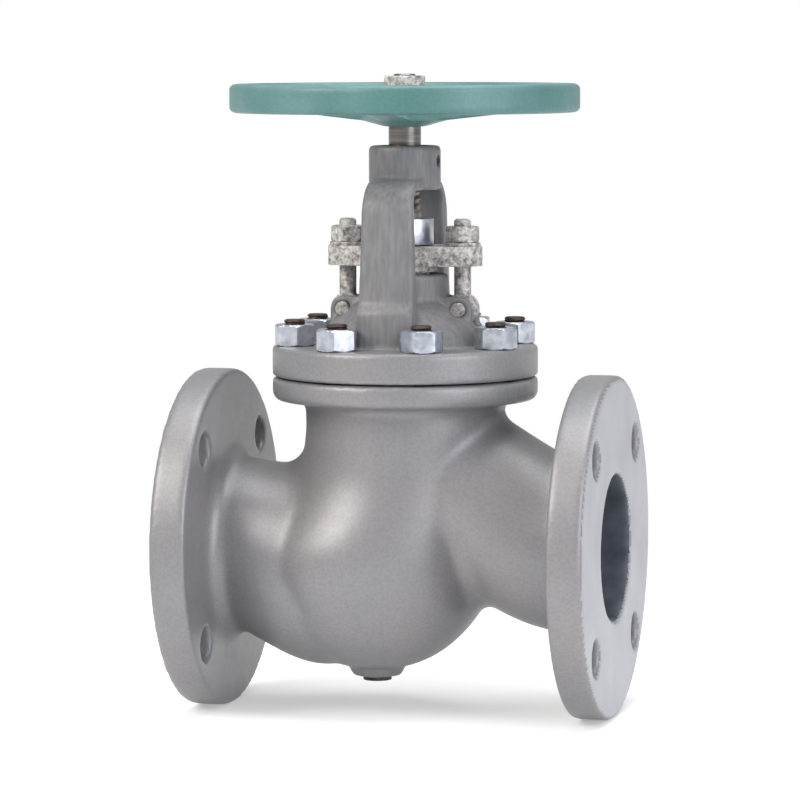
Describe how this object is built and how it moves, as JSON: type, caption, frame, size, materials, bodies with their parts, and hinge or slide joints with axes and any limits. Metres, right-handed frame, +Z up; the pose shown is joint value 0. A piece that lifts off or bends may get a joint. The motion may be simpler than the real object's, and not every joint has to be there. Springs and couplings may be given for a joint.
{
  "type": "bellows seal globe valve",
  "caption": "Flanged globe valve with an S-shaped cast body, a bellows sealed stem, a bolted yoke bonnet, an eyebolt gland and a spoked handwheel.",
  "frame": {"origin": "centre of the inlet flange's face", "axes": "+X along the pipe from the inlet flange to the outlet flange, +Z up along the stem, +Y across the pipe"},
  "size_m": [0.241, 0.1946, 0.3565],
  "materials": {
    "body_paint": "satin silver-grey paint on cast steel",
    "wheel_paint": "satin blue-green enamel on cast iron",
    "zinc_steel": "bright zinc plated steel",
    "dark_steel": "dark oiled steel",
    "stem_steel": "turned and ground stainless steel",
    "seat_alloy": "hard faced and lapped steel",
    "bellows_steel": "thin formed stainless steel",
    "gasket_graphite": "pressed graphite",
    "gland_steel": "weathered and lightly rusted steel",
    "bronze": "machined bronze"
  },
  "bodies": {
    "valve_body": {"body_inlet_end": "body_paint", "body_neck": "body_paint", "body_bowl": "body_paint", "body_outlet_end": "body_paint", "bonnet": "body_paint", "yoke": "body_paint", "drain_plug": "dark_steel", "seat_ring": "seat_alloy", "bellows": "bellows_steel", "bellows_ring": "bellows_steel", "lower_gasket": "gasket_graphite", "upper_gasket": "gasket_graphite", "bonnet_studs": "dark_steel", "bonnet_nuts": "zinc_steel", "backseat_bush": "stem_steel", "packing_rings": "gasket_graphite", "gland_follower": "gland_steel", "gland_flange": "gland_steel", "gland_eyebolts": "dark_steel", "eyebolt_pins": "dark_steel", "gland_washers": "gland_steel", "gland_nuts": "gland_steel", "yoke_bush": "bronze", "bush_set_screw": "dark_steel"},
    "stem": {"lower_stem": "stem_steel", "disc": "seat_alloy", "disc_nut": "stem_steel", "bellows_lower_collar": "bellows_steel", "clamp_inlet_half": "zinc_steel", "clamp_outlet_half": "zinc_steel", "clamp_screws": "dark_steel", "clamp_nuts": "zinc_steel"},
    "drive": {"upper_stem": "stem_steel", "handwheel": "wheel_paint", "handwheel_washer": "zinc_steel", "handwheel_nut": "zinc_steel"}
  },
  "joints": [
    {"name": "stem_lift", "type": "slide", "parent": "valve_body", "child": "stem", "axis": [0, 0, 1], "range_m": [0, 0.0155], "deforming": ["bellows"]},
    {"name": "handwheel_turn", "type": "hinge", "parent": "stem", "child": "drive", "pos_m": [0.1205, 0, 0.232], "axis": [0, 0, 1], "range_deg": [0, 1395]}
  ],
  "couplings": [
    {"joint": "stem_lift", "follows": "handwheel_turn", "m_per_rad": 0.00063662}
  ]
}
